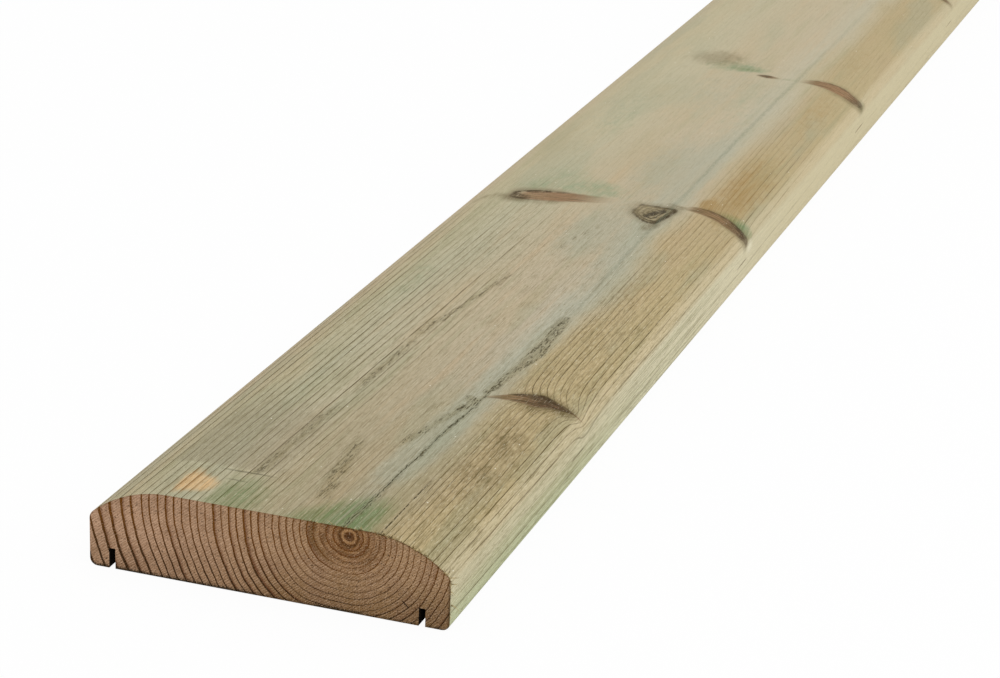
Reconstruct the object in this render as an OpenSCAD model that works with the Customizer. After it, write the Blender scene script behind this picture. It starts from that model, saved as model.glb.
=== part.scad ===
// Cap board for a deck railing: one planed length of pressure-treated pine.
// The top is flat and falls to both sides in a wide arc, the sides stand upright,
// and two drip grooves run along the underside.
// The origin is in the middle of the underside. X runs across the board, Y along it and Z up.

/* [Board] */
// Width across the two sides
board_w = 145; // [120:1:200]
// Thickness from the underside to the flat of the top
board_t = 34; // [30:1:40]
// Length from end to end
board_l = 2400; // [1800:300:5400]

/* [Edges] */
// Height of the upright side, up to where the arc of the top begins
side_h = 21; // [18:1:25]
// Radius of the arc between the flat of the top and the side
crown_r = 48; // [40:1:60]
// Radius that eases the corner between that arc and the side
arris_r = 4; // [1:0.5:6]
// Radius of the two corners of the underside
foot_r = 3; // [1:0.5:4]

/* [Drip grooves] */
// Width of a groove, as the saw cuts it
groove_w = 2.6; // [2:0.1:4]
// Distance from the left side to its groove
left_inset = 8; // [6:0.5:14]
// Depth of the left groove
left_depth = 8.2; // [4:0.1:10]
// Distance from the right side to its groove
right_inset = 9.5; // [6:0.5:14]
// Depth of the right groove
right_depth = 7.2; // [4:0.1:10]

/* [Hidden] */
$fn = 180;
// A cutting shape reaches this far past the wood that it cuts
overrun = foot_r / 3;
// Fall of the top from its flat to the corner at the side
crown_drop = board_t - side_h;
// Width that the arc takes from the flat of the top
crown_run = sqrt(pow(crown_r, 2) - pow(crown_r - crown_drop, 2));
// Centre of the arc, from the left foot of the board
crown_centre = [crown_run, board_t - crown_r];
// Centre of the easing, which touches the side and lies inside the arc
arris_centre = [
    arris_r,
    crown_centre.y + sqrt(pow(crown_r - arris_r, 2) - pow(crown_run - arris_r, 2))
];
// Point where the easing runs into the arc
arris_end = crown_centre + (arris_centre - crown_centre) * crown_r / (crown_r - arris_r);

// What is planed away above the arc and at the eased corner, on the left side
module crown_waste() {
    difference() {
        translate([-overrun, side_h])
            square([crown_run + overrun, crown_drop + overrun]);
        translate(crown_centre)
            circle(crown_r);
    }
    difference() {
        polygon([
            arris_centre,
            [-overrun, arris_centre.y],
            [-overrun, arris_end.y],
            arris_end
        ]);
        translate(arris_centre)
            circle(arris_r);
    }
}

// What is planed away at the left foot
module foot_waste() {
    difference() {
        translate([-overrun, -overrun])
            square(foot_r + overrun);
        translate([foot_r, foot_r])
            circle(foot_r);
    }
}

// One drip groove, at a distance from the left side
module groove(inset, depth) {
    translate([inset, -overrun])
        square([groove_w, depth + overrun]);
}

// Everything that leaves the left side, with the groove of that side
module side_waste(inset, depth) {
    crown_waste();
    foot_waste();
    groove(inset, depth);
}

// Cross-section of the board, standing on its underside
module section() {
    difference() {
        translate([-board_w / 2, 0])
            square([board_w, board_t]);
        translate([-board_w / 2, 0])
            side_waste(left_inset, left_depth);
        mirror([1, 0])
            translate([-board_w / 2, 0])
                side_waste(right_inset, right_depth);
    }
}

module cap_board() {
    color("#b9ad86")
        translate([0, board_l / 2, 0])
            rotate([90, 0, 0])
                linear_extrude(board_l)
                    section();
}

cap_board();
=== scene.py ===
import math
import random

import bmesh
import bpy
from mathutils import Matrix, Vector


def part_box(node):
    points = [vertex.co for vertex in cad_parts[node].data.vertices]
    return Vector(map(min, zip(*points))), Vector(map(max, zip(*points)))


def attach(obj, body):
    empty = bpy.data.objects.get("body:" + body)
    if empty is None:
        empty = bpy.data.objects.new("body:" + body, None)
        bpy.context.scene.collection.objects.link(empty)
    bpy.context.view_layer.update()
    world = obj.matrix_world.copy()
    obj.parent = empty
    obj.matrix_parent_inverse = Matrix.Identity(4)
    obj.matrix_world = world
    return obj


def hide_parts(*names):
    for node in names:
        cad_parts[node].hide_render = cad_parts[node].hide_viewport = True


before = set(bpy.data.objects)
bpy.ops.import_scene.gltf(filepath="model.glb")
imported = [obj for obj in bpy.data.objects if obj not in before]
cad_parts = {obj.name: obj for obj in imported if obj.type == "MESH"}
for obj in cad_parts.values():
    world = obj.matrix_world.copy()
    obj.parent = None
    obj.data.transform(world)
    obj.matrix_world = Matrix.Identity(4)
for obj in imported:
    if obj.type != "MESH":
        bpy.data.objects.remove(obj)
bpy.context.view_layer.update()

# the box of the CAD model, before anything is added to it
mm = 0.001
low, high = (Vector(corner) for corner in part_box("cap_board"))
boardWidth = (high.x - low.x) / mm
boardLength = (high.y - low.y) / mm
boardThickness = (high.z - low.z) / mm
random.seed(11)

# the planed section, in millimetres from the left foot of the board
section = {
    "sideHeight": 21,
    "crownRadius": 48,
    "arrisRadius": 4,
    "footRadius": 3,
    "grooveWidth": 2.6,
    "leftInset": 8,
    "leftDepth": 8.2,
    "rightInset": 9.5,
    "rightDepth": 7.2,
}
crown = section["crownRadius"]
arris = section["arrisRadius"]
foot = section["footRadius"]
# where the centres of the wide arcs and of the arrises lie, and how far each of them turns
crownDrop = boardThickness - section["sideHeight"]
crownRun = math.sqrt(crown ** 2 - (crown - crownDrop) ** 2)
crownHeight = boardThickness - crown
arrisHeight = crownHeight + math.sqrt((crown - arris) ** 2 - (crownRun - arris) ** 2)
arrisTurn = math.atan2(arrisHeight - crownHeight, crownRun - arris)
crownTurn = math.pi / 2 - arrisTurn
leftFlat = crownRun
rightFlat = boardWidth - crownRun
slack = 0.001

# what the values written at the points of the mesh are divided by, to keep them between 0 and 1
layerScale = {"grainPush": 10, "fromCheck": 100, "eye": 10}

# the heart of the log, which runs just under the top from end to end
heart = {
    "x": 105.2,
    "z": 30.5,
    "sway": 2.4,
    "swayLength": 250,
    "sink": 0.0012,
}

# drying cracks in the top, as (distance along, distance across) from the near left corner
heartCheck = {
    "base": 105.5,
    "opening": (-0.7, 1),
    "path": ((0, 102.8), (45, 103.6), (87, 104.7), (141, 107), (200, 108.6), (267, 109.3), (330, 107.6),
             (395, 107.4), (560, 106.5), (900, 108), (1400, 104.5), (2400, 106)),
    "halfWidth": 0.13,
    "depths": ((0, 1.0), (60, 0.8), (150, 0.6), (250, 0.3), (400, 0), (2250, 0), (2400, 1.0)),
    "reach": 11,
    "jitter": 0.3,
}
endCheck = {
    "x": 117.1,
    "halfWidth": 0.14,
    "depths": ((0, 0.9), (30, 0.5), (60, 0), (2320, 0), (2400, 0.8)),
}

# branch knots, each from root to tip as (along, across)
# push is how far it carries the grain outwards, near and far how slowly that fades on its two sides
# heat is how red its wood is, dark how dark its tip is, bark how black its rim is
# shade is the stain beside it, taper how slowly it widens from its root, blunt how round its tip is
# show, burn and edge are the stretches, as parts of its length, where its wood, dark end and rim begin
knotFields = ("root", "tip", "half", "bow", "push", "near", "far", "heat", "dark", "bark", "shade",
              "taper", "blunt", "show", "burn", "edge")
knots = [dict(zip(knotFields, knot)) for knot in (
    ((142, 106), (160, 141.5), 6.4, -0.5, 8.5, 3.5, 11, 0.3, 0.95, 1.0, 1.0, 1.0, 1.0,
     (-0.12, 0.25), (0.25, 0.68), (0.15, 0.36)),
    ((419, 114), (419.5, 149), 4.6, 1.1, 2.2, 4, 9, 0.4, 0.75, 0.7, 0.7, 0.12, 2.1,
     (-0.05, 0.15), (0.4, 0.97), (0.1, 0.35)),
    ((415, 82), (404.4, 30), 7.6, 0.5, 3, 7, 9, 0.6, 0.0, 1.0, 0.7, 0.4, 3.2,
     (0.0, 0.5), (0.7, 0.85), (0.45, 0.75)),
    ((672, 107), (677.5, 147), 6.4, 0.8, 3, 7, 9, 0.7, 0.45, 0.5, 0.7, 0.4, 2.2,
     (0.0, 0.3), (0.68, 0.9), (0.1, 0.4)),
    ((672, 99), (674.5, 84), 2.5, 0, 1, 6, 8, 0.1, 0.55, 0.4, 0.3, 0.5, 1.4,
     (0, 0.5), (0.3, 0.7), (0.3, 0.6)),
    ((930, 114), (941, 147), 4.6, 0, 4, 7, 9, 0.4, 0.3, 0.2, 0.5, 0.9, 1.6,
     (0.1, 0.5), (0.5, 0.8), (0.3, 0.6)),
    ((1196, 98), (1184, 46), 5.6, 0, 5, 7, 10, 0.7, 0.3, 0.6, 0.3, 0.8, 2.2,
     (0.1, 0.5), (0.6, 0.9), (0.4, 0.6)),
    ((1194, 112), (1206, 142), 3.6, 0, 4, 7, 9, 0.5, 0.5, 0.4, 0.3, 0.6, 1.2,
     (0.1, 0.4), (0.6, 0.9), (0.4, 0.6)),
    ((1458, 108), (1478, 146), 5, -0.5, 8, 4, 12, 0.3, 0.9, 0.7, 0.6, 1.2, 1,
     (0.15, 0.5), (0.4, 0.7), (0.2, 0.5)),
    ((1724, 94), (1712, 32), 6, 0, 5, 7, 10, 0.8, 0.2, 0.7, 0.35, 0.8, 2.4,
     (0.1, 0.5), (0.7, 0.9), (0.4, 0.7)),
    ((1722, 112), (1736, 144), 3.6, 0, 4, 7, 9, 0.5, 0.3, 0.3, 0.3, 0.6, 1.2,
     (0.1, 0.4), (0.6, 0.9), (0.4, 0.6)),
    ((1988, 112), (2003, 148), 4.4, 0, 6, 6, 10, 0.3, 0.7, 0.5, 0.4, 0.8, 1.2,
     (0.1, 0.4), (0.5, 0.8), (0.3, 0.6)),
    ((2252, 95), (2240, 42), 5.4, 0, 5, 7, 10, 0.7, 0.3, 0.6, 0.3, 0.8, 2.2,
     (0.1, 0.5), (0.6, 0.9), (0.4, 0.6)),
)]

# the knot that the planer cut across, right over the heart
eye = {
    "outline": ((415.5, 91.5), (414, 111.5), (402, 110), (387, 106), (392, 98), (402, 91)),
    "scale": 5,
    "round": 8,
    "power": 5,
    "middle": (403, 102),
    "push": 5,
    "pushReach": (16, 10),
    "core": ((399, 98.5), (409, 105)),
    "coreWidth": 2.5,
}

# stains painted on the wood, and one painted highlight: kind, place as (along, across), half size as
# (along, across), amount
patches = (
    ("pale", (4, 109), (34, 8), 0.6),
    ("green", (8, 56), (34, 18), 0.85),
    ("pale", (427, 66), (20, 22), 0.85),
    ("pale", (440, 46), (34, 30), 0.5),
    ("pale", (424, 34), (12, 10), 0.5),
    ("pale", (427, 143), (14, 9), 0.9),
    ("pale", (686, 62), (24, 22), 0.6),
    ("pale", (679, 146), (12, 6), 0.6),
    ("pale", (120, 36), (50, 12), 0.35),
    ("pale", (260, 30), (70, 12), 0.5),
    ("pale", (560, 40), (120, 20), 0.4),
    ("pale", (600, 92), (110, 14), 0.35),
    ("green", (692, 66), (22, 24), 0.4),
    ("green", (684, 80), (12, 14), 0.25),
    ("cool", (365, 84), (70, 26), 0.9),
    ("cool", (480, 88), (90, 26), 0.8),
    ("cool", (640, 74), (120, 34), 0.5),
    ("cool", (560, 30), (90, 22), 0.4),
    ("green", (427, 140), (11, 15), 0.9),
    ("green", (683, 74), (5, 12), 0.35),
    ("green", (430, 66), (15, 17), 0.3),
    ("green", (672.5, 103), (2.4, 11), 0.7),
    ("green", (420, 32), (12, 18), 0.35),
    ("green", (676, 147.5), (7, 4), 0.7),
    ("resin", (470, 131), (95, 15), 0.8),
    ("resin", (430, 121), (13, 6), 1.0),
    ("resin", (300, 124), (60, 10), 0.4),
    ("resin", (620, 130), (90, 14), 0.45),
    ("resin", (740, 128), (60, 12), 0.35),
    ("brown", (382, 106), (15, 5), 1.0),
    ("brown", (401, 103), (22, 15), 0.4),
    ("brown", (418.5, 105), (7, 7), 0.9),
    ("brown", (402, 17), (10, 13), 0.8),
    ("brown", (88, 131), (44, 17), 0.5),
    ("brown", (116, 128), (22, 13), 0.4),
    ("brown", (50, 128), (40, 20), 0.35),
    ("brown", (701, 54), (26, 24), 0.8),
    ("pale", (685, 78), (9, 16), 0.9),
    ("brown", (418, 112), (3, 6), 1.2),
    ("paintedHighlight", (426, 151.5), (7, 3.2), 1.0),
    ("pale", (1210, 60), (22, 26), 0.7),
    ("resin", (1240, 126), (60, 12), 0.7),
    ("pale", (1492, 138), (26, 10), 0.5),
    ("green", (1735, 58), (20, 22), 0.4),
    ("resin", (1760, 128), (70, 12), 0.7),
    ("pale", (2018, 66), (30, 20), 0.6),
    ("resin", (2030, 130), (60, 12), 0.6),
    ("pale", (2266, 70), (26, 24), 0.6),
    ("green", (2392, 60), (22, 26), 0.8),
    ("pale", (2385, 100), (26, 22), 0.7),
)

# flecks and smudges along the grain: kind, start and end as (along, across), half width, amount
streaks = (
    ("dirt", (78, 93), (143, 106), 3.6, 0.9),
    ("dirt", (134, 103.5), (142, 101), 3.0, 1.0),
    ("dirt", (145, 106), (205, 111), 4.4, 1.0),
    ("dirt", (185, 111), (248, 108.5), 5.2, 1.0),
    ("smudge", (28, 54), (114, 56), 4.6, 0.8),
    ("smudge", (120, 56.5), (226, 57.5), 4.4, 0.7),
    ("smudge", (212, 58), (296, 68.5), 2.6, 1.0),
    ("smudge", (16, 86), (84, 77), 6.0, 0.9),
    ("smudge", (330, 73.7), (388, 85.7), 1.4, 1.0),
    ("smudge", (60, 66), (112, 69), 4.5, 0.4),
    ("smudge", (1040, 60), (1180, 66), 3.6, 0.7),
    ("dirt", (1420, 104), (1540, 108), 4.4, 0.7),
    ("smudge", (1820, 48), (1960, 55), 3.6, 0.7),
    ("dirt", (2300, 103), (2390, 106), 3.6, 0.8),
)
stainLayers = (("green", "pale", "bare"), ("dusk", "cool", "resin"), ("dirt", "smudge", "lines"),
               ("brown", "paintedHighlight", "eyeDepth"))


def tint(code):
    # a colour as it shows on a screen, made linear for the shaders
    channels = [int(code[i:i + 2], 16) / 255 for i in (1, 3, 5)]
    return tuple(c / 12.92 if c <= 0.04045 else ((c + 0.055) / 1.055) ** 2.4 for c in channels) + (1,)


def along(points, place):
    # value at a place on a line of (place, value) points, smooth between them
    for (startPlace, startValue), (endPlace, endValue) in zip(points, points[1:]):
        if place <= endPlace:
            t = max(0, min(1, (place - startPlace) / (endPlace - startPlace)))
            return startValue + (endValue - startValue) * t * t * (3 - 2 * t)
    return points[-1][1]


def rise(value, start, end):
    t = max(0, min(1, (value - start) / (end - start)))
    return t * t * (3 - 2 * t)


def fall(value, start, end):
    return 1 - rise(value, start, end)


# Shader building blocks

class Wire:
    # a socket of a node tree that takes part in sums
    def __init__(self, tree, socket):
        self.tree = tree
        self.socket = socket

    def add(self, kind, settings, sockets, output=0):
        return addNode(self.tree, kind, settings, sockets, output)

    def other(self, output):
        return Wire(self.tree, self.socket.node.outputs[output])

    def sum(self, operation, *others):
        return self.add("ShaderNodeMath", {"operation": operation}, dict(enumerate((self,) + others)))

    def reflected(self, operation, other):
        return self.add("ShaderNodeMath", {"operation": operation}, {0: other, 1: self})

    def __add__(self, other):
        return self.sum("ADD", other)

    def __radd__(self, other):
        return self.reflected("ADD", other)

    def __sub__(self, other):
        return self.sum("SUBTRACT", other)

    def __rsub__(self, other):
        return self.reflected("SUBTRACT", other)

    def __mul__(self, other):
        return self.sum("MULTIPLY", other)

    def __rmul__(self, other):
        return self.reflected("MULTIPLY", other)

    def __truediv__(self, other):
        return self.sum("DIVIDE", other)

    def __rtruediv__(self, other):
        return self.reflected("DIVIDE", other)

    def __pow__(self, other):
        return self.sum("POWER", other)

    def __abs__(self):
        return self.sum("ABSOLUTE")

    def least(self, other):
        return self.sum("MINIMUM", other)

    def most(self, other):
        return self.sum("MAXIMUM", other)

    def rise(self, start, end, before=0.0, after=1.0):
        return self.add("ShaderNodeMapRange", {"interpolation_type": "SMOOTHSTEP"},
                        {0: self, 1: start, 2: end, 3: before, 4: after})

    def fall(self, start, end):
        return self.rise(start, end, 1.0, 0.0)


def addNode(tree, kind, settings, sockets, output=0):
    node = tree.nodes.new(kind)
    for name, value in settings.items():
        if name == "stops":
            ramp = node.color_ramp
            while len(ramp.elements) < len(value):
                ramp.elements.new(1)
            for element, (place, colour) in zip(ramp.elements, value):
                element.position = place
                element.color = colour
        else:
            setattr(node, name, value)
    for name, value in sockets.items():
        if isinstance(value, Wire):
            tree.links.new(value.socket, node.inputs[name])
        else:
            node.inputs[name].default_value = value
    return Wire(tree, node.outputs[output])


def blend(amount, first, second):
    # first where amount is 0, second where it is 1; each is a wire or the code of a colour
    first, second = [tint(part) if isinstance(part, str) else part for part in (first, second)]
    return amount.add("ShaderNodeMix", {"data_type": "RGBA"}, {0: amount, 6: first, 7: second}, 2)


def pack(x, y, z):
    wire = next(w for w in (x, y, z) if isinstance(w, Wire))
    return wire.add("ShaderNodeCombineXYZ", {}, {0: x, 1: y, 2: z})


class Paint:
    # a colour that more is laid over, coat by coat
    def __init__(self, wire):
        self.wire = wire

    def lay(self, amount, coat):
        self.wire = blend(amount, self.wire, coat.wire if isinstance(coat, Paint) else coat)


def split(vector):
    parts = vector.add("ShaderNodeSeparateXYZ", {}, {0: vector})
    return parts, parts.other(1), parts.other(2)


def noise(vector, detail=2.0, roughness=0.5):
    return vector.add("ShaderNodeTexNoise", {}, {"Vector": vector, "Scale": 1.0, "Detail": detail,
                                                 "Roughness": roughness})


def noises(vector, detail):
    # three noises that don't depend on each other
    return split(noise(vector, detail).other("Color"))


def newMaterial(name):
    material = bpy.data.materials.new(name)
    material.use_nodes = True
    tree = material.node_tree
    tree.nodes.clear()
    return material, tree


def closeTree(tree, shader, kind):
    output = tree.nodes.new(kind)
    tree.links.new(shader.socket, output.inputs[0])


def finishSurface(tree, colour, roughness, height, depth):
    bump = addNode(tree, "ShaderNodeBump", {}, {"Strength": 1.0, "Distance": depth, "Height": height})
    surface = addNode(tree, "ShaderNodeBsdfPrincipled", {}, {
        "Base Color": colour,
        "Roughness": roughness,
        "Normal": bump,
        "Specular IOR Level": 0.08,
    })
    closeTree(tree, surface, "ShaderNodeOutputMaterial")


# The wood

def woodPlaces(tree):
    # millimetres from the near left foot: across, along and up, and the way round the top
    x, y, z = split(addNode(tree, "ShaderNodeTexCoord", {}, {}, "Object"))
    x = (x - low.x) / mm
    y = (y - low.y) / mm
    z = z / mm
    rightTurn = (x - rightFlat).most(0).sum("ARCTAN2", z - crownHeight)
    leftTurn = (leftFlat - x).most(0).sum("ARCTAN2", z - crownHeight)
    a = x.most(leftFlat).least(rightFlat) + (rightTurn - leftTurn) * crown
    return x, y, z, a


def growthRings(x, y, z, push):
    # the rings are wide ovals about the heart, and the tree tapers towards the far end
    heartX = (y / heart["swayLength"]).sum("SINE") * heart["sway"] + heart["x"]
    heartZ = heart["z"] - y * heart["sink"]
    dx = x - heartX
    dx = dx * (1 + 0.2 * dx.rise(0, 3))
    dz = (z - heartZ) / 0.88
    radius = (dx * dx + dz * dz).sum("SQRT")
    wander = noise(pack(x / 34, y / 420, z / 34), 2.0) - 0.5
    waver = noise(pack(x / 5, y / 38, z / 5), 1.0) - 0.5
    # below the heart they lean outwards at the left and inwards nearer the heart
    lean = z.fall(0, 30) * (x.fall(20, 70) * 4.2 - 2.6) * x.fall(84, 104)
    reach = radius + wander * (radius * 0.05).least(2.4) + waver * 0.7 + lean + y * 0.009 - push
    # they stand 2.4 mm apart at the heart and wider further out
    reach = reach.least(84) + (reach - 84).most(0) * 0.78
    number = ((5.856 + 0.0688 * (reach + 0.5).most(0)).sum("SQRT") - 2.42) / 0.0344
    number = number + 0.35 * (noise(pack(number * 0.6, 0.0, 0.0), 1.0) - 0.5)
    age = number.sum("FRACT")
    year = number.sum("FLOOR")
    luck = year.add("ShaderNodeTexWhiteNoise", {"noise_dimensions": "1D"}, {"W": year})
    return radius, reach, age, luck


def readValue(tree, name):
    # a value that writeLayers wrote down at every point of the mesh
    return addNode(tree, "ShaderNodeAttribute", {"attribute_name": name}, {}, "Fac")


def readValues(tree, name):
    # three values from one layer
    return split(readValue(tree, name).other("Vector"))


def paintKnot(tree, colour, ragged, mottle, fuzz):
    # a branch cut lengthwise: a spindle that shows from its root on, with bark round its tip
    t, gap, wide = readValues(tree, "knotPlace")
    heat, dark, rim = readValues(tree, "knotLook")
    shown = readValue(tree, "knotShown")
    blunt = readValue(tree, "knotBlunt")
    side = gap / wide
    tipward = ((t - 0.6) / 0.4).most(0)
    away = (abs(side) ** blunt + tipward ** blunt) ** (1 / blunt)
    away = away + ragged * (0.35 - 0.15 * t.rise(0.65, 0.9))
    fibre = noise(pack(gap * 0.9, t * 4, 0.0), 3.0, 0.65)
    wood = Paint(blend(heat, "#75623e", "#a27c5b"))
    wood.lay(t.rise(0.6, 0.95) * (1 - dark) * 0.45, "#b39c76")
    wood.lay(dark, "#4a3520")
    wood.lay(fibre.rise(0.46, 0.6) * (0.5 + 0.35 * dark), "#2e1e0c")
    wood.lay(fibre.fall(0.36, 0.48) * 0.6, "#a67c60")
    wood.lay(dark * side.rise(-0.2, 0.8) * 0.85, "#241509")
    wood.lay(fuzz.fall(0.3, 0.42) * dark * 0.75, "#cbbd9c")
    colour.lay(away.fall(0.7, 1.2) * shown * 0.93, wood)
    edge = (away + ragged * 0.7).rise(0.55, 0.9) * away.fall(1.0, 1.16)
    broken = mottle.rise(0.36, 0.56).most(dark * 0.7)
    halo = away.rise(0.9, 1.0) * away.fall(1.0, 1.9) * t.fall(1.0, 1.15) * rim.most(dark)
    colour.lay(halo * 0.55, "#5f4f2e")
    tail = abs(gap + ragged).fall(0.15, 0.6) * t.rise(0.92, 1.0) * t.fall(1.06, 1.2)
    colour.lay(tail * rim.rise(0.75, 0.95) * dark * 0.7, "#6b4128")
    colour.lay(edge * broken * rim * 0.9, "#38250c")
    return away


def paintEye(colour, y, a, depth, core, ragged, mottle):
    # the knot that was cut across: broken rings in its lower half, and a long dark core
    depth = depth + ragged * 0.6 + (mottle - 0.5) * 0.7
    lower = (a - 0.7 * (y - eye["middle"][0])).rise(96, 107)
    rings = (depth * 11 + mottle * 8).sum("SINE").rise(-0.3, 0.7)
    wood = Paint(blend(mottle.rise(0.4, 0.6) * 0.7, "#a09271", "#6e6143"))
    wood.lay(rings * (0.4 + 0.5 * lower), "#3b2e15")
    slit = (core + ragged * 1.6).fall(0.3, 1.2) * (0.8 + 0.15 * mottle.rise(0.4, 0.55))
    wood.lay(slit, "#2e220d")
    wood.lay(depth.fall(0.1, 0.5) * a.rise(98, 108) * 0.7, "#4a3b1d")
    colour.lay(depth.rise(-1.3, 0.0) * 0.45, "#75684a")
    colour.lay(depth.rise(-0.2, 0.15) * 0.92, wood)
    edge = depth.rise(-0.35, 0.0) * depth.fall(0.05, 0.35)
    colour.lay(edge * (0.6 + 0.35 * lower) * mottle.rise(0.3, 0.5), "#3a2d14")


def paintStains(colour, y, a, fromCheck, dirt, smudge, fleck, top):
    # the checks, and the dark flecks that dirt left along the grain
    wobble = noise(pack(y / 3, 5.0, 0.0), 3.0) - 0.5
    gap = abs(fromCheck + wobble * 1.4)
    broken = noise(pack(y / 3, 3.0, fromCheck), 2.0).rise(0.4, 0.54)
    hair = gap.fall(0.1, 0.34) * y.fall(200, 340) * (0.3 + 0.7 * y.fall(145, 200)) * broken
    beside = abs(fromCheck - 1.1 + wobble * 2).least(abs(fromCheck + 1.0 - wobble * 2)).fall(0.06, 0.28)
    hair = hair.most(beside * y.fall(24, 60) * broken * 0.8)
    second = abs(a - endCheck["x"] + wobble * 0.7).fall(0.12, 0.4) * y.fall(34, 66) * broken
    trace = gap.fall(0.2, 1.9) * y.rise(180, 330) * y.fall(560, 1000) * (0.4 + 0.6 * broken)
    colour.lay(trace * top * 0.32, "#6b7560")
    colour.lay((gap / 1.6).fall(0.1, 1) * y.fall(140, 165) * top * 0.3, "#5a5c3a")
    colour.lay((hair + second).least(1) * top * 0.85, "#26220f")
    dashes = fleck.rise(0.5, 0.57) * (0.35 + 0.65 * broken)
    specks = dirt + (gap / 1.8).fall(0.2, 1) * y.rise(30, 60) * y.fall(135, 160) * top
    colour.lay((dirt * 0.32 + smudge * 0.24).least(1), "#766d42")
    colour.lay((specks * dashes * 0.95 + smudge * dashes * 0.7).least(0.92), "#3a3117")


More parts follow.
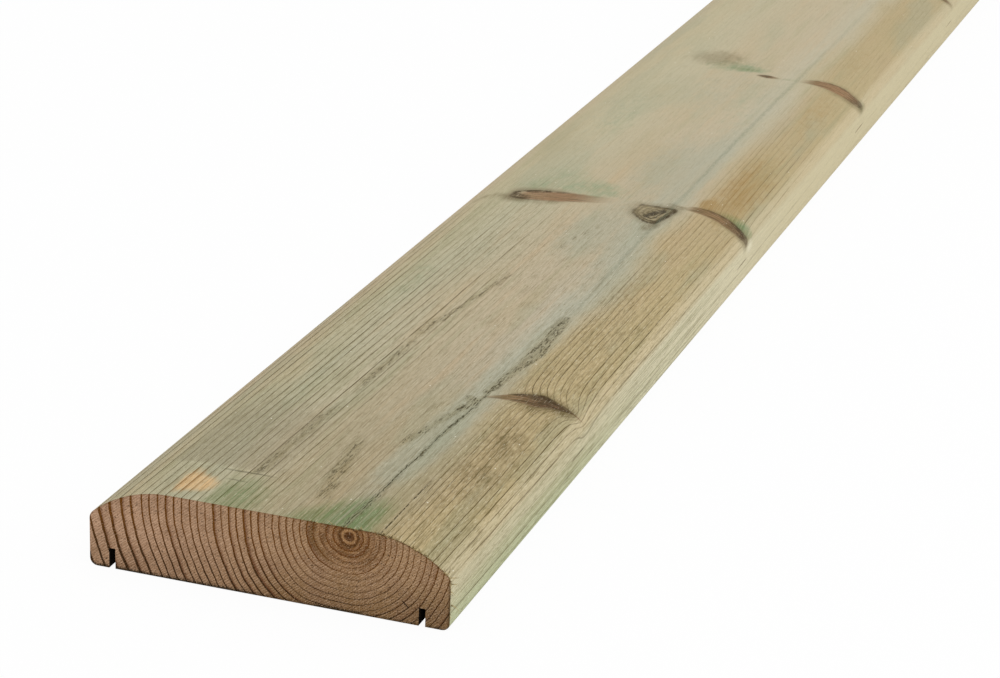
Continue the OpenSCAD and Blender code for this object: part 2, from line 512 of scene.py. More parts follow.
def planedPine():
    material, tree = newMaterial("planedPine")
    x, y, z, a = woodPlaces(tree)
    push = readValue(tree, "grainPush") * layerScale["grainPush"]
    fromCheck = readValue(tree, "fromCheck") * layerScale["fromCheck"]
    reach, age, luck = growthRings(x, y, z, push)[1:]
    top = z.rise(19, 23)

    ragged = noise(pack(a / 4, y / 9, 0.0), 4.0, 0.65) - 0.5
    warm, cold, deep = noises(pack(a / 26, y / 120, z / 26), 3.0)
    soft = noise(pack(a / 6 + 20, y / 90, z / 6), 2.0)
    grain = noise(pack(reach / 0.7, y / 60, 0.0), 2.0)
    fuzz = noise(pack(a / 0.36, y / 5, z / 0.36), 2.0, 0.8)
    fibre = noise(pack(a / 0.4, y / 22, z / 0.4), 2.0, 0.7)
    fleck = noise(pack(a / 0.8, y / 6.5, z / 0.8), 3.0, 0.8)
    mottle = noise(pack(a / 7, y / 13, 3.0), 4.0, 0.6)

    # the tone across the board, which wanders a little along it
    colour = Paint(addNode(tree, "ShaderNodeValToRGB", {"stops": (
        (0.0, tint("#beac8c")),
        (0.1, tint("#bbb18f")),
        (0.22, tint("#b7b195")),
        (0.4, tint("#bbad90")),
        (0.53, tint("#bbae94")),
        (0.62, tint("#b8b39e")),
        (0.72, tint("#b9a67e")),
        (0.83, tint("#b9a77e")),
    )}, {0: (a + (deep - 0.5) * 26) / 170}))
    quiet = a.rise(50, 74) * a.fall(113, 126)
    colour.lay(soft.rise(0.52, 0.72) * (0.12 + 0.14 * quiet), "#c6a680")
    colour.lay(soft.fall(0.3, 0.48) * 0.3, "#989874")
    colour.lay(warm.rise(0.5, 0.66) * 0.35, "#bba683")
    colour.lay(cold.rise(0.5, 0.64) * (0.35 + 0.15 * y.rise(260, 500)), "#a4a58a")
    colour.lay(deep.rise(0.5, 0.7) * y.rise(260, 600) * 0.45, "#a8986f")
    colour.lay(y.fall(40, 260) * (0.04 + 0.28 * quiet), "#857c56")
    colour.lay(y.rise(260, 700) * (0.4 - 0.25 * a.rise(112, 124)), "#c6ba9a")
    colour.lay(y.rise(260, 480) * a.rise(112, 124) * 0.12, "#8d7f58")

    # the right arris is painted paler, a painted highlight, and the right side greener near this end
    rightHalf = x.rise(100, 140)
    side = Paint(blend(z.fall(2, 17), "#cbc2a1", "#bec39e"))
    side.lay(y.rise(80, 420), "#d0c5a2")
    side.lay(y.rise(120, 260) * y.fall(340, 560) * 0.5, "#dfd9bd")
    shallow = noise(pack(z / 0.6, y / 200, 7.0), 2.0)
    side.lay(shallow.rise(0.52, 0.6) * y.fall(200, 600) * 0.55, "#8a895f")
    # painted highlight along the right arris
    colour.lay(a.rise(141, 146) * rightHalf * 0.55, "#d2c4a2")
    colour.lay(z.fall(17, 22) * rightHalf, side)

    # rings: a fine dark line at the end of each year, and the softer wood before it
    dirt, smudge, lines = readValues(tree, "stains2")
    patchy = noise(pack(reach / 2.2, y / 30, 0.0), 3.0, 0.6).rise(0.3, 0.62)
    fine = age.rise(0.83, 0.92) * age.fall(0.965, 1.0)
    late = age.rise(0.45, 0.9) * age.fall(0.95, 1.0)
    lines = lines * (0.25 + luck) * (0.3 + 0.8 * patchy)
    colour.lay((late * lines * 0.22).least(1), "#7d6d3c")
    crisp = 0.85 + 0.25 * y.fall(150, 400) + 0.55 * a.fall(44, 70) * y.fall(180, 420)
    colour.lay((fine * lines * (0.5 + fibre) * crisp).least(0.9), "#433208")
    colour.lay(grain.rise(0.5, 0.72) * lines.least(1) * 0.35, "#776c42")

    # stains of preservative, resin and weather
    uneven = ragged * 0.8
    dusk, cool, resin = [(part + uneven).rise(0.2, 0.9) for part in readValues(tree, "stains1")]
    green, pale, bare = readValues(tree, "stains0")
    pale = (pale + uneven).rise(0.2, 0.9)
    streaky = grain.rise(0.34, 0.62)
    brown, paintedHighlight, depth = readValues(tree, "stains3")
    depth = depth * layerScale["eye"] - layerScale["eye"] / 2
    core = readValue(tree, "eyeCore") * layerScale["eye"]
    colour.lay(cool * 0.5, "#a6a893")
    colour.lay(dusk * 0.4, "#8b8068")
    sticky = resin * (0.35 + 0.35 * soft.rise(0.35, 0.6) + 0.3 * streaky)
    colour.lay(sticky * 0.65, "#987536")
    colour.lay(pale * (0.35 + 0.35 * mottle.rise(0.4, 0.62)), "#919f7f")
    colour.lay((green + uneven * 0.6).rise(0.1, 1.1) * (0.32 + 0.4 * streaky), "#506f36")
    colour.lay((bare + uneven * 1.1).rise(0.1, 1.0) * (0.6 + 0.3 * streaky), "#dcb684")
    colour.lay((bare * 1.8).least(1) * fine.most(late * 0.6) * a.fall(35, 43), "#7d5210")
    brown = (brown + uneven).rise(0.1, 0.9)
    blotches = (0.25 + 0.75 * mottle.rise(0.35, 0.6)).most(y.rise(450, 600) * 0.8)
    colour.lay(brown * blotches * 0.5, "#655530")
    rough = brown.most(0.4 * a.rise(112, 120) * a.fall(138, 144)) * y.fall(240, 330)
    colour.lay(rough * fleck.rise(0.5, 0.58) * mottle.rise(0.3, 0.56) * 0.6, "#4f4520")
    mark = abs(y - 32 + ragged * 2).fall(0.2, 1.0) * a.rise(36, 48) * a.fall(54, 66)
    mark = mark.most(abs(y - 23.5 + ragged * 2).fall(0.2, 0.9) * a.rise(44, 49) * a.fall(51, 56) * 0.8)
    colour.lay(mark * top * 0.6, "#4a4632")

    away = paintKnot(tree, colour, ragged, mottle, fuzz)
    paintEye(colour, y, a, depth, core, ragged, mottle)
    # a painted highlight by the right edge, past the tip of a knot
    colour.lay(paintedHighlight * 0.8, "#e6dfc4")
    dirt = (dirt + uneven).rise(0.2, 0.8)
    smudge = (smudge + uneven).rise(0.2, 0.8)
    paintStains(colour, y, a, fromCheck, dirt, smudge, fleck, top)

    # short fibres and specks of resin
    worn = (0.35 + 0.65 * y.fall(300, 480)) * (0.5 + mottle) * (1 - 0.6 * away.fall(0.9, 1.2))
    worn = worn * (1 + 0.35 * a.rise(112, 120) * y.fall(240, 330))
    colour.lay(fibre.rise(0.52, 0.66) * worn * 0.36, "#675930")
    colour.lay(fuzz.rise(0.54, 0.68) * worn * 0.4, "#665a32")
    colour.lay(fuzz.fall(0.3, 0.43) * worn * 0.3, "#e6dfc2")
    cells = {"Vector": pack(a / 9, y / 11, z / 9), "Scale": 1.0}
    speck = a.add("ShaderNodeTexVoronoi", {}, cells, "Distance")
    colour.lay(speck.fall(0.022, 0.04) * 0.8, "#f2efdc")

    finishSurface(tree, colour.wire, 0.62 + 0.16 * fuzz, late * 0.3 + fuzz * 0.5, 0.2 * mm)
    return material


def sawnEndPine():
    material, tree = newMaterial("sawnEndPine")
    x, y, z = woodPlaces(tree)[:3]
    radius, reach, age, luck = growthRings(x, y, z, 0.0)
    turn = (z - heart["z"]).sum("ARCTAN2", x - heart["x"])
    grit = noise(pack(x / 0.5, 0.0, z / 0.5), 2.0, 0.7)
    slant = x - z * 1.25
    stroke = noise(pack((x + z * 1.25) / 3.4, 4.0, slant / 1.6), 2.0)
    hatch = (slant * 4.3 + stroke * 7).sum("SINE") * 0.5 + 0.5
    rays = noise(pack(turn * 40, reach / 9, 0.0), 1.0)
    blotch = noise(pack(x / 11, y / 11, z / 11), 3.0)
    speckle = noise(pack(x / 0.8 + 30, 0.0, z / 0.8), 1.0)
    second = split(luck.other("Color"))[0]
    wide = (second ** 1.4).most(radius.fall(8, 20) * 0.8)
    tick = noise(pack(x / 1.7, 9.0, z / 0.34), 1.0)

    colour = Paint(blend(x.rise(10, 110), "#c39c7e", "#b08d68"))
    colour.lay(z.fall(0, 20) * (0.35 + 0.4 * x.rise(60, 80)), "#7a5a30")
    colour.lay(radius.fall(2, 24) * 0.85, "#8b5c28")
    bands = noise(pack(radius / 2.6, 2.0, turn * 0.8), 2.0, 0.6)
    colour.lay(bands.rise(0.46, 0.62) * radius.fall(14, 26) * 0.65, "#5d3d16")
    colour.lay(bands.fall(0.36, 0.5) * radius.fall(14, 26) * 0.4, "#b58f63")
    colour.lay(blotch.rise(0.42, 0.68) * 0.4, "#94735a")
    clear = 0.4 + 0.6 * radius.rise(4, 18)
    colour.lay(hatch.rise(0.5, 0.9) * stroke.rise(0.35, 0.6) * clear * 0.45, "#7a5736")
    colour.lay(hatch.fall(0.1, 0.5) * stroke.fall(0.4, 0.65) * clear * 0.4, "#d6b699")
    beltWide = abs(radius - 15.6 + blotch * 2).fall(0.6, 2.4) * x.fall(94, 102) * z.rise(6, 16)
    colour.lay(beltWide * 0.55, "#61400f")
    colour.lay(rays.rise(0.55, 0.75) * 0.25, "#7c5a38")
    colour.lay(x.rise(112, 142) * z.fall(6, 26) * 0.3, "#6b5330")

    bold = x.fall(60, 105) * 0.07 + luck * 0.08
    fine = age.rise(0.84 - bold, 0.92 - bold * 0.8) * age.fall(0.96, 1.0)
    late = age.rise(0.8 - 0.65 * wide, 0.94) * age.fall(0.95, 1.0)
    strength = (0.6 + 0.6 * luck) * (0.8 + 0.2 * radius.rise(6, 34)) * (0.55 + 0.8 * blotch)
    strength = strength * (1 + 0.3 * x.rise(122, 140) + 0.3 * z.fall(4, 20) + 0.5 * x.fall(8, 40))
    strength = strength * (1 - 0.6 * z.fall(12, 26) * z.rise(2, 5) * x.rise(74, 90) * x.fall(112, 126))
    ink = blend(z.fall(4, 26) * radius.rise(10, 30), "#6b3f06", "#3d2406")
    nearHeart = x.fall(70, 112).most(radius.fall(8, 24))
    shaded = late * (0.2 + 0.8 * wide) * strength * (0.25 + 0.75 * nearHeart)
    colour.lay(shaded.least(0.8), "#68391a")
    colour.lay((fine * strength * 1.4 * (0.7 + 0.6 * grit)).least(1), ink)
    colour.lay(radius.fall(1.7, 2.4) * 0.75, "#55300f")
    colour.lay(radius.fall(0.5, 1.2) * 0.6, "#331a06")
    uneven = radius + (blotch - 0.5) * 1.6 + (grit - 0.5) * 1.6
    colour.lay(abs(uneven - 2.9).fall(0.1, 0.65) * 0.6, "#bd9263")
    colour.lay(abs(uneven - 4.2).fall(0.3, 1.1) * 0.75, "#56330b")
    coarse = 0.6 + 0.4 * x.rise(70, 110)
    colour.lay(grit.rise(0.52, 0.68) * coarse * 0.72, "#472c10")
    colour.lay(grit.fall(0.32, 0.46) * coarse * 0.45, "#dcc0a0")
    colour.lay(speckle.rise(0.64, 0.7) * 0.75, "#2c1808")
    colour.lay(tick.rise(0.7, 0.76) * z.rise(8, 24) * 0.7, "#4f3115")

    # the saw tore the wood along the top, and the end is darker along its bottom edge
    outer = (x - rightFlat).most(0) + (leftFlat - x).most(0)
    upwards = z - crownHeight
    skin = crown - (outer * outer + upwards * upwards).sum("SQRT")
    frayed = (skin + grit * 1.6).fall(0.7, 1.6) * (0.35 + 0.45 * x.rise(78, 96))
    colour.lay(frayed, "#553714")
    ragEdge = (boardWidth - x + (grit - 0.5) * 2).fall(0.2, 1.3) * z.fall(18, 24)
    colour.lay(ragEdge * 0.6, "#3a280e")
    # darker along the bottom edge, more so in two stretches across
    bottomDarkness = x.fall(60, 76).most(x.rise(88, 94) * x.fall(106, 114))
    colour.lay((z - grit * 1.6).fall(-0.6, 0.5) * (0.4 + 0.5 * bottomDarkness), "#2a200c")
    colour.lay(z.fall(0.5, 2.2) * grit.rise(0.44, 0.56) * (0.4 + 0.5 * bottomDarkness), "#1d170a")

    # a short check across the rings beside the right groove
    run = (x - 127.6) * 0.72 - (z - 7.6) * 0.69
    beside = (x - 127.6) * 0.69 + (z - 7.6) * 0.72
    check = abs(run).fall(1.4, 1.9) * abs(beside).fall(0.12, 0.4) * y.fall(1, 3)
    colour.lay(check * 0.9, "#2a180a")

    height = late * 0.3 + grit * 0.5 + hatch * 0.6
    finishSurface(tree, colour.wire, 0.8, height, 0.35 * mm)
    return material


def sawnGroovePine():
    material, tree = newMaterial("sawnGroovePine")
    x, y, z = woodPlaces(tree)[:3]
    marks = noise(pack(y / 1.4, z / 9, x / 9), 2.0)
    # the groove walls are painted near black: painted shade inside the grooves, with faint saw marks
    colour = blend(marks.rise(0.35, 0.7), "#17120c", "#2c2218")
    finishSurface(tree, colour, 0.9, marks, 0.2 * mm)
    return material


def tornPine():
    material, tree = newMaterial("tornPine")
    x, y, z = woodPlaces(tree)[:3]
    tone = noise(pack(x / 1.5, y / 1.5, z / 1.5), 1.0)
    colour = blend(tone.rise(0.35, 0.65), "#b8a474", "#4f3c18")
    finishSurface(tree, colour, 0.8, tone, 0.05 * mm)
    return material


# The board

def drawLine(mesh, last, target, count):
    # a straight stretch of the outline, in equal steps
    step = (Vector((target[0], 0, target[1])) - last.co) / count
    for _ in range(count):
        made = bmesh.ops.extrude_vert_indiv(mesh, verts=[last])
        last = made["verts"][0]
        bmesh.ops.translate(mesh, verts=[last], vec=step)
    return last


def drawArc(mesh, last, centre, turn, count):
    # a round stretch of the outline, clockwise as seen from the near end
    made = bmesh.ops.spin(mesh, geom=[last], cent=(centre[0], 0, centre[1]), axis=(0, 1, 0),
                          angle=turn, steps=count, use_duplicate=False)
    return next(v for v in made["geom_last"] if isinstance(v, bmesh.types.BMVert))


def drawSection(mesh):
    # the outline of the board, from the left foot over the top and back along the underside,
    # in stretches as (end of a line or centre of an arc, number of steps, turn if it is an arc)
    heartBase = heartCheck["base"]
    check = heartCheck["halfWidth"]
    endTurn = math.asin((endCheck["x"] - rightFlat) / crown)
    halfTurn = endCheck["halfWidth"] / crown
    centre = (rightFlat, crownHeight)
    wide = section["grooveWidth"]
    leftDepth = section["leftDepth"]
    rightDepth = section["rightDepth"]
    rightEdge = boardWidth - section["rightInset"]
    leftEdge = section["leftInset"] + wide
    stretches = (
        ((0, arrisHeight), 7),
        ((arris, arrisHeight), 5, arrisTurn),
        ((crownRun, crownHeight), 15, crownTurn),
        ((heartBase - check, boardThickness), 32),
        ((heartBase, boardThickness), 1),
        ((heartBase + check, boardThickness), 1),
        ((rightFlat, boardThickness), 3),
        (centre, 2, endTurn - halfTurn),
        (centre, 1, halfTurn),
        (centre, 1, halfTurn),
        (centre, 13, crownTurn - endTurn - halfTurn),
        ((boardWidth - arris, arrisHeight), 5, arrisTurn),
        ((boardWidth, foot), 7),
        ((boardWidth - foot, foot), 5, math.pi / 2),
        ((rightEdge, 0), 1),
        ((rightEdge, rightDepth), 3),
        ((rightEdge - wide, rightDepth), 1),
        ((rightEdge - wide, 0), 3),
        ((leftEdge, 0), 20),
        ((leftEdge, leftDepth), 3),
        ((leftEdge - wide, leftDepth), 1),
        ((leftEdge - wide, 0), 3),
        ((foot, 0), 1),
        ((foot, foot), 5, math.pi / 2),
    )
    last = mesh.verts.new((0, 0, foot))
    for place, count, *turn in stretches:
        last = drawArc(mesh, last, place, *turn, count) if turn else drawLine(mesh, last, place, count)
    bmesh.ops.remove_doubles(mesh, verts=mesh.verts[:], dist=0.01)


# lengths of the faces along the board, short ones at the near end and about the knots
faceLengths = {
    "fine": 2.6,
    "plain": 7,
    "nearEnd": 260,
    "margin": 30,
    "crease": 28,
}


def zones():
    # stretches of the board as (end, number of faces)
    fine = faceLengths["fine"]
    plain = faceLengths["plain"]
    margin = faceLengths["margin"]
    ends = [(faceLengths["nearEnd"], fine)]
    for middle in sorted({round((knot["root"][0] + knot["tip"][0]) / 2, -1) for knot in knots}):
        if middle - margin > ends[-1][0]:
            ends.append((middle - margin, plain))
            ends.append((middle + margin, fine))
    ends.append((boardLength, plain))
    start = 0
    found = []
    for end, step in ends:
        found.append((end, max(1, round((end - start) / step))))
        start = end
    return found


def aroundTop(x, z):
    # the way round the top, as the materials measure it
    rightTurn = math.atan2(max(x - rightFlat, 0), z - crownHeight)
    leftTurn = math.atan2(max(leftFlat - x, 0), z - crownHeight)
    return min(max(x, leftFlat), rightFlat) + (rightTurn - leftTurn) * crown


def knotPart(knot, y, a):
    # how far along a knot a place is, and how far beside its middle line
    rootY, rootA = knot["root"]
    tipY, tipA = knot["tip"]
    t = (a - rootA) / (tipA - rootA)
    inside = max(0, min(1, t))
    return t, y - rootY - inside * (tipY - rootY) - 4 * knot["bow"] * inside * (1 - inside)


def grainPush(y, a):
    # how far the branches carry the grain outwards, in millimetres
    eyeY, eyeA = eye["middle"]
    reachY, reachA = eye["pushReach"]
    fromEye = math.hypot((y - eyeY) / reachY, (a - eyeA) / reachA)
    total = eye["push"] * math.exp(-1.4 * max(0, fromEye - 0.6))
    for knot in knots:
        t, gap = knotPart(knot, y, a)
        if abs(gap) < 90:
            beyond = max(0, t - 1) * abs(knot["tip"][1] - knot["root"][1])
            soften = 1.6 + beyond * 0.8
            fade = math.exp(-(math.hypot(gap, soften) - soften) / knot["far" if gap > 0 else "near"])
            total += knot["push"] * fade * rise(t, -0.1, 0.7) * math.exp(-beyond / 5)
    return total


# how far beside its middle line a knot is looked for, and how far it keeps the sign of that side
knotSide = 16
knotSignSide = 60


def nearestKnot(y, a):
    # the knot that a place lies in or beside, and where in it: how far along, how far beside its
    # middle line, its half width there and how far out, which is 1 at its rim
    found = None
    best = (-1, knotSide, 1, math.inf)
    for knot in knots:
        t, gap = knotPart(knot, y, a)
        t = max(-1, min(2, t))
        wide = knot["half"] * (min(1, max(0, t) / 0.6) ** knot["taper"] + 0.06)
        blunt = knot["blunt"]
        tipward = max(0, t - 0.6) / 0.4
        away = ((abs(gap) / wide) ** blunt + tipward ** blunt) ** (1 / blunt)
        if abs(gap) < knotSide and t > -0.3 and away < best[3]:
            best = (t, gap, wide, away)
            found = knot
        elif found is None and abs(gap) < knotSignSide:
            best = (t, math.copysign(knotSide, gap), 1, math.inf)
    return best, found


def knotLookAt(place, knot):
    # how red, dark and dark-rimmed a knot is at one point, and how much of it shows
    t, gap, wide = place[:3]
    side = gap / wide
    burnt = knot["dark"] * rise(t, *knot["burn"])
    farSide = max(rise(side, -0.4, 0.5), rise(t, 0.78, 0.94))
    rim = knot["bark"] * rise(t, *knot["edge"]) * (0.3 + 0.7 * farSide)
    return (knot["heat"] * (0.3 + 0.7 * rise(t, 0.1, 0.6)), burnt, rim), rise(t, *knot["show"])


def eyeDepth(y, a):
    # how far inside the outline of the cut knot a place is, as a part of its scale
    corners = eye["outline"]
    reach = 0
    for (startY, startA), (endY, endA) in zip(corners, corners[1:] + corners[:1]):
        runY = endY - startY
        runA = endA - startA
        outside = ((y - startY) * runA - (a - startA) * runY) / math.hypot(runY, runA)
        reach += max(0, outside + eye["round"]) ** eye["power"]
    return (eye["round"] - reach ** (1 / eye["power"])) / eye["scale"]


def eyeCore(y, a):
    # how far from the dark core of that knot, as a part of the core's width
    (coreY, coreA), (endY, endA) = eye["core"]
    runY = endY - coreY
    runA = endA - coreA
    t = max(0, min(1, ((y - coreY) * runY + (a - coreA) * runA) / (runY ** 2 + runA ** 2)))
    return math.hypot((y - coreY - t * runY) * 0.6, a - coreA - t * runA) / eye["coreWidth"]


def paintPlace(y, a, fromCheck):
    # how much of each stain, and of the painted highlight, there is at one point of the top
    amounts = {kind: 0 for kinds in stainLayers for kind in kinds}
    for kind, (midY, midA), (sizeY, sizeA), amount in patches:
        if abs(y - midY) < sizeY * 1.2 and abs(a - midA) < sizeA * 1.2:
            far = math.hypot((y - midY) / sizeY, (a - midA) / sizeA)
            amounts[kind] += amount * fall(far, 0.1, 1.15)
    for kind, start, end, half, amount in streaks:
        t = (y - start[0]) / (end[0] - start[0])
        if -0.1 < t < 1.1:
            beside = abs(a - start[1] - t * (end[1] - start[1])) / half
            amounts[kind] += amount * fall(beside, 0.1, 1) * rise(t, -0.08, 0.15) * fall(t, 0.85, 1.08)

    # preservative that ran in at the near end, and one patch that it never reached
    limit = min(32, 13 + (a - 82) * 1.06)
    amounts["green"] += fall(y - limit, -16, 10) * rise(a, 66, 88) * fall(a, 108, 121)
    amounts["pale"] += fall(y, 26, 38) * rise(a, 30, 50) * fall(a, 60, 120) * 0.3
    width = max(1, 14 - (a - 30) * 0.45)
    amounts["bare"] = fall(abs(y - 16) / width, 0.3, 1.25) * rise(a, 28, 33) * fall(a, 40, 49)
    amounts["dusk"] = rise(y, 32, 37) * fall(y, 60, 150) * rise(a, 8, 24) * fall(a, 50, 74)
    beside = fall(abs(fromCheck + 1.5), 3, 14) * rise(y, 28, 60) * (0.2 + 0.8 * fall(y, 420, 820))
    amounts["cool"] += beside * (1 - 0.35 * rise(y, 130, 220))

    # ring lines fade beside the heart and towards the far end
    quiet = rise(a, 50, 74) * fall(a, 113, 120)
    lines = 1 - quiet * (0.5 + 0.3 * rise(y, 50, 110))
    lines *= 1 - (0.93 * rise(y, 330, 500) - 0.25 * rise(y, 1000, 1200)) * fall(a, 112, 124)
    lines *= 1 - (0.8 * rise(y, 470, 650) - 0.3 * rise(y, 1000, 1200)) * rise(a, 112, 124)
    lines *= 1 - 0.35 * rise(y, 180, 400)
    lines *= (1 - 0.65 * rise(a, 143, 152)) * (1 - 0.7 * rise(y, 300, 600) * rise(a, 142, 150))
    lines *= 1 + 0.2 * fall(a, 40, 70) * fall(y, 150, 330)
    place, knot = nearestKnot(y, a)
    t, gap, wide, away = place
    if knot and knot["near"] > 3.5:
        lines *= 1 - 0.8 * fall(away, 1, 2.6) * rise(t, -0.2, 0.1)
    if knot and gap < wide / 2:
        shade = knot["shade"] * fall(away, 0.9, 2.6) * fall(gap / wide, -0.3, 0.3)
        amounts["brown"] += shade * rise(t, 0.25, 0.6) * fall(t, 1, 1.15)
    amounts["eyeDepth"] = max(0, eyeDepth(y, a) / layerScale["eye"] + 0.5)
    amounts["lines"] = lines
    return amounts, place, knot


def measureOutline(mesh):
    # how far round from the left foot each point of the outline lies
    layer = mesh.verts.layers.float.new("girth")
    first = min(mesh.verts, key=lambda v: (v.co - Vector((0, 0, foot))).length)
    edge = max(first.link_edges, key=lambda e: e.other_vert(first).co.z)
    vert = first
    girth = 0
    while edge.other_vert(vert) != first:
        vert = edge.other_vert(vert)
        girth += edge.calc_length()
        vert[layer] = girth
        if vert.co.x > boardWidth - slack and vert.co.z > foot - slack:
            overTop = girth
        edge = next(e for e in vert.link_edges if e != edge)
    return layer, overTop, girth + edge.calc_length()


# the map that the colours are baked through: the board in lengths, one above the other, then its ends
bakeMap = {
    "lengths": 3,
    "gap": 4,
    "margin": 0.006,
    "underScale": 0.35,
    "nearScale": 3.2,
    "farScale": 2.1,
}


def layOutMap(mesh, girthLayer, overTop, allRound):
    places = mesh.loops.layers.uv.new("OFBake")
    gap = bakeMap["gap"]
    margin = bakeMap["margin"]
    length = boardLength / bakeMap["lengths"]
    under = (allRound - overTop) * bakeMap["underScale"]
    pitch = overTop + under + gap * 2
    endBase = pitch * bakeMap["lengths"]
    tall = endBase + boardThickness * bakeMap["nearScale"] + gap
    across = (1 - 2 * margin) / length
    farStart = boardWidth * bakeMap["nearScale"] + gap
    for face in mesh.faces:
        middle = face.calc_center_median()
        part = min(bakeMap["lengths"] - 1, int(middle.y / length))
        girths = [vert[girthLayer] for vert in face.verts]
        beneath = max(girths) > overTop + 0.01
        for loop in face.loops:
            x, y, z = loop.vert.co
            girth = loop.vert[girthLayer]
            if len(face.verts) > 4 and middle.y < 1:
                u = x * bakeMap["nearScale"]
                v = endBase + z * bakeMap["nearScale"]
            elif len(face.verts) > 4:
                u = farStart + x * bakeMap["farScale"]
                v = endBase + z * bakeMap["farScale"]
            elif beneath:
                around = girth if girth > 1 else allRound
                u = y - part * length
                v = part * pitch + overTop + gap + (around - overTop) * bakeMap["underScale"]
            else:
                u = y - part * length
                v = part * pitch + girth
            loop[places].uv = (margin + u * across, margin + v / tall * (1 - 2 * margin))


def drawBoard(mesh):
    drawSection(mesh)
    girthLayer, overTop, allRound = measureOutline(mesh)
    rim = mesh.edges[:]
    nearLoop = mesh.edges[:]
    start = 0
    for end, count in zones():
        known = set(mesh.edges)
        made = bmesh.ops.extrude_edge_only(mesh, edges=rim)["geom"]
        rim = [g for g in made if isinstance(g, bmesh.types.BMEdge)]
        moved = [g for g in made if isinstance(g, bmesh.types.BMVert)]
        bmesh.ops.translate(mesh, verts=moved, vec=(0, end - start, 0))
        known.update(rim)
        lengthwise = [edge for edge in mesh.edges if edge not in known]
        bmesh.ops.subdivide_edges(mesh, edges=lengthwise, cuts=count - 1)
        start = end
    bmesh.ops.contextual_create(mesh, geom=nearLoop)
    bmesh.ops.contextual_create(mesh, geom=rim)
    print("board drawn,", len(mesh.verts), "points")
    layOutMap(mesh, girthLayer, overTop, allRound)
    mesh.verts.layers.float.remove(girthLayer)


def writeLayers(mesh):
    # open the checks, and write down how the grain runs, what stains the wood and where a highlight is
    # painted
    vertLayers = mesh.verts.layers
    pushLayer = vertLayers.float.new("grainPush")
    checkLayer = vertLayers.float.new("fromCheck")
    stains = [vertLayers.float_vector.new("stains" + str(i)) for i in range(len(stainLayers))]
    knotPlace = vertLayers.float_vector.new("knotPlace")
    knotLook = vertLayers.float_vector.new("knotLook")
    knotShown = vertLayers.float.new("knotShown")
    knotBlunt = vertLayers.float.new("knotBlunt")
    coreLayer = vertLayers.float.new("eyeCore")
    jitters = {}
    openings = {}
    for vert in mesh.verts:
        x, y, z = vert.co
        a = aroundTop(x, z)
        place = round(y, 2)
        if place not in jitters:
            jitters[place] = random.uniform(-1, 1) * heartCheck["jitter"]
            openings[place] = random.uniform(*heartCheck["opening"])
        line = along(heartCheck["path"], y) + jitters[place]
        if z > boardThickness - slack:
            near = 1 - min(1, abs(x - heartCheck["base"]) / heartCheck["reach"])
            shift = (line - heartCheck["base"]) * near * near * (3 - 2 * near)
            if abs(x - heartCheck["base"]) < slack:
                vert.co.z -= along(heartCheck["depths"], y) * max(0, openings[place])
            vert.co.x += shift
            a += shift
        if z > 20 and abs(x - endCheck["x"]) < endCheck["halfWidth"] / 2:
            vert.co.z -= along(endCheck["depths"], y) * max(0, openings[place])
        vert[checkLayer] = (a - line) / layerScale["fromCheck"]
        vert[coreLayer] = 1
        vert[knotPlace] = (-1, knotSide, 1)
        vert[knotBlunt] = 1
        if z > slack:
            vert[pushLayer] = grainPush(y, a) / layerScale["grainPush"]
        if z > 10:
            amounts, knotHere, knot = paintPlace(y, a, a - line)
            vert[knotPlace] = knotHere[:3]
            for layer, kinds in zip(stains, stainLayers):
                vert[layer] = [amounts[kind] for kind in kinds]
            vert[coreLayer] = min(1, eyeCore(y, a) / layerScale["eye"])
            if knot:
                vert[knotLook], vert[knotShown] = knotLookAt(knotHere, knot)
                vert[knotBlunt] = knot["blunt"]
        elif z > slack:
            vert[stains[2]] = (0, 0, 0.4 - 0.25 * rise(y, 300, 600))
        else:
            vert[stains[2]] = (0, 0, 0.8)
    print("checks opened")


def placeInFrame(mesh):
    # from millimetres off the near left foot to the frame's metres
    bmesh.ops.translate(mesh, verts=mesh.verts[:], vec=(-boardWidth / 2, -boardLength / 2, 0))
    bmesh.ops.scale(mesh, verts=mesh.verts[:], vec=(mm, mm, mm))
    bmesh.ops.recalc_face_normals(mesh, faces=mesh.faces[:])


def sortFaces(mesh):
    # materials: 0 planed, 1 the sawn ends, 2 the grooves, painted near black as shade
    grooveTop = (max(section["leftDepth"], section["rightDepth"]) + 0.1) * mm
    for face in mesh.faces:
        middle = face.calc_center_median()
        fromSide = boardWidth / 2 - abs(middle.x) / mm
        if abs(face.normal.y) > 0.9:
            face.material_index = 1
        elif 0.05 * mm < middle.z < grooveTop and 5 < fromSide < 15:
            face.material_index = 2
        face.smooth = True
    for edge in mesh.edges:
        if edge.is_manifold and edge.calc_face_angle(0) > math.radians(faceLengths["crease"]):
            edge.smooth = False


def newPiece(name, mesh, materials):
    data = bpy.data.meshes.new(name)
    mesh.to_mesh(data)
    mesh.free()
    for material in materials:
        data.materials.append(material)
    piece = bpy.data.objects.new(name, data)
    bpy.context.scene.collection.objects.link(piece)
    return piece


def makeBoard():
    mesh = bmesh.new()
    drawBoard(mesh)
    writeLayers(mesh)
    placeInFrame(mesh)
    sortFaces(mesh)
    board = newPiece("board", mesh, (planedPine(), sawnEndPine(), sawnGroovePine()))
    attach(board, "root")
    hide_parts("cap_board")


def edgePlace(reach):
    # a point of the outline and the way out of the wood, from how far right it is of the flat top
    turn = max(0, reach) / crown
    if turn < crownTurn:
        return (rightFlat + min(0, reach) + math.sin(turn) * crown,
                crownHeight + math.cos(turn) * crown, turn)
    turn = crownTurn + (reach - crown * crownTurn) / arris
    if turn < math.pi / 2:
        return boardWidth - arris + math.sin(turn) * arris, arrisHeight + math.cos(turn) * arris, turn
    return boardWidth, arrisHeight - (turn - math.pi / 2) * arris, math.pi / 2


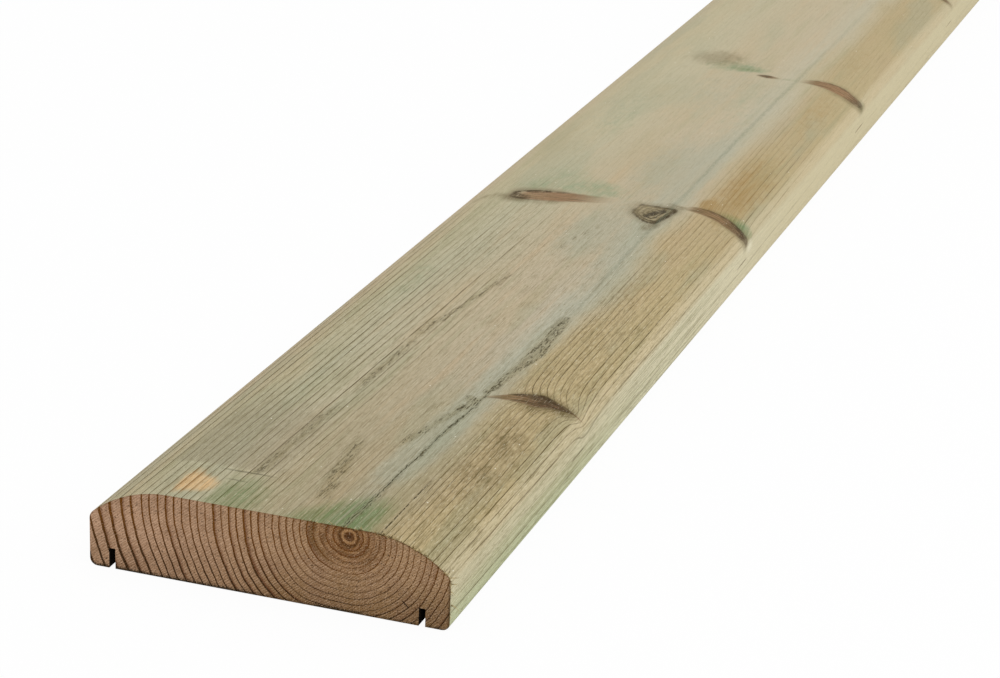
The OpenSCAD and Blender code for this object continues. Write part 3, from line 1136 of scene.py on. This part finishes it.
# fibres along the top of both ends, and whiskers at the near one as (how far right, length)
torn = {
    "spread": (-34, 54),
    "peak": 24,
    "count": 260,
    "thickness": (0.08, 0.18),
    "length": (0.6, 2.6),
    "lean": (35, 85),
    "whiskers": ((34, 4.6), (36, 5.4), (37.5, 4.2), (46, 3.8), (18, 3.2), (19, 4.0), (26, 3.2), (9, 2.6)),
    "whiskerThickness": 0.2,
    "whiskerLean": (10, 45),
    "point": 0.3,
    "bend": 0.5,
    "curl": 0.4,
    "twist": 0.7,
    "inset": 1.2,
    "sunk": 0.2,
}


def makeTornFibres():
    # fibres that the saw pulled out along the top of both ends, mostly on the right
    mesh = bmesh.new()
    single = bpy.data.meshes.new("singleFibre")
    places = [(reach, length, torn["whiskerThickness"]) for reach, length in torn["whiskers"]]
    for _ in range(torn["count"]):
        reach = random.triangular(*torn["spread"], torn["peak"])
        places.append((reach, random.uniform(*torn["length"]), random.uniform(*torn["thickness"])))
    for number, (reach, length, thickness) in enumerate(places):
        x, z, turn = edgePlace(reach + random.uniform(-1, 1))
        fibre = bmesh.new()
        bmesh.ops.create_cone(fibre, cap_ends=True, segments=5, radius1=thickness,
                              radius2=thickness * torn["point"], depth=length)
        lengthwise = [edge for edge in fibre.edges
                      if abs(edge.verts[0].co.z - edge.verts[1].co.z) > length / 2]
        bmesh.ops.subdivide_edges(fibre, edges=lengthwise, cuts=4)
        verts = fibre.verts[:]
        whisker = number < len(torn["whiskers"])
        bend = random.uniform(-torn["bend"], torn["bend"]) / length
        curl = random.uniform(-torn["curl"], torn["curl"]) * (2 if whisker else 1)
        for vert in verts:
            up = vert.co.z / length + 0.5
            vert.co.x += bend * length * length * up * up
            vert.co.y += curl * math.sin(up * 5) * up
        bmesh.ops.translate(fibre, verts=verts, vec=(0, 0, length / 2))
        # most point out of the end, and they lean away from the surface
        lean = math.radians(random.uniform(*torn["whiskerLean" if whisker else "lean"]))
        twist = random.uniform(-torn["twist"], torn["twist"])
        tilt = Matrix.Rotation(turn, 4, "Y") @ Matrix.Rotation(twist, 4, "Z")
        tilt = tilt @ Matrix.Rotation(lean, 4, "X")
        bmesh.ops.transform(fibre, matrix=tilt, verts=verts)
        inset = random.uniform(0, torn["inset"])
        move = (x - math.sin(turn) * torn["sunk"], inset, z - math.cos(turn) * torn["sunk"])
        bmesh.ops.translate(fibre, verts=verts, vec=move)
        if not whisker and number % 3 == 0:
            bmesh.ops.scale(fibre, verts=verts, vec=(1, -1, 1))
            bmesh.ops.translate(fibre, verts=verts, vec=(0, boardLength, 0))
        fibre.to_mesh(single)
        fibre.free()
        mesh.from_mesh(single)
    bpy.data.meshes.remove(single)
    placeInFrame(mesh)
    fibres = newPiece("tornFibres", mesh, (tornPine(),))
    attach(fibres, "root")


# The studio

studio = {
    "floorSize": 6,
    "floorDrop": 0.2,
    "floorGlow": 0.95,
    "ambient": 0.84,
    "lampEnergy": 20,
    "lampSize": 2.2,
    "lampPlace": (1.7, -1.2, 2.2),
    "sensor": 36,
    "lens": 106.06,
    "cameraPlace": (0.3924, -2.1130, 0.4767),
    "cameraAngles": (69.456, -2.046, 19.227),
}


def makeFloor():
    mesh = bmesh.new()
    bmesh.ops.create_grid(mesh, x_segments=4, y_segments=4, size=studio["floorSize"])
    bmesh.ops.translate(mesh, verts=mesh.verts[:], vec=(0, 0, -studio["floorDrop"] * mm))
    material, tree = newMaterial("whiteFloor")
    seen = addNode(tree, "ShaderNodeLightPath", {}, {}, "Is Camera Ray")
    paper = addNode(tree, "ShaderNodeBsdfDiffuse", {}, {"Color": tint("#f2f2f2")})
    glow = addNode(tree, "ShaderNodeEmission", {}, {"Color": (1, 1, 1, 1), "Strength": 1.0})
    mixed = addNode(tree, "ShaderNodeMixShader", {}, {0: seen * studio["floorGlow"], 1: paper, 2: glow})
    closeTree(tree, mixed, "ShaderNodeOutputMaterial")
    floor = newPiece("studioFloor", mesh, (material,))


def lightStudio():
    world = bpy.data.worlds.new("studioLight")
    bpy.context.scene.world = world
    world.use_nodes = True
    tree = world.node_tree
    tree.nodes.clear()
    path = addNode(tree, "ShaderNodeLightPath", {}, {}, "Is Camera Ray")
    seen = path.most(path.other("Is Glossy Ray"))
    ambient = studio["ambient"]
    sky = addNode(tree, "ShaderNodeBackground", {}, {0: (1, 1, 1, 1), 1: ambient + (1 - ambient) * seen})
    closeTree(tree, sky, "ShaderNodeOutputWorld")
    softBox = bpy.data.lights.new("softBox", "AREA")
    softBox.energy = studio["lampEnergy"]
    softBox.size = studio["lampSize"]
    lamp = bpy.data.objects.new("softBox", softBox)
    lamp.location = studio["lampPlace"]
    lamp.rotation_euler = Vector((0, 0, 1)).rotation_difference(Vector(lamp.location)).to_euler()
    bpy.context.scene.collection.objects.link(lamp)


def placeCamera():
    data = bpy.data.cameras.new("camera")
    data.sensor_width = studio["sensor"]
    data.lens = studio["lens"]
    camera = bpy.data.objects.new("camera", data)
    camera.location = studio["cameraPlace"]
    camera.rotation_euler = [math.radians(angle) for angle in studio["cameraAngles"]]
    bpy.context.scene.collection.objects.link(camera)
    bpy.context.scene.camera = camera


placeCamera()
lightStudio()
makeFloor()
print("studio ready")
makeBoard()
print("board ready")
makeTornFibres()
print("torn fibres ready")
bpy.context.scene.view_settings.view_transform = "Standard"
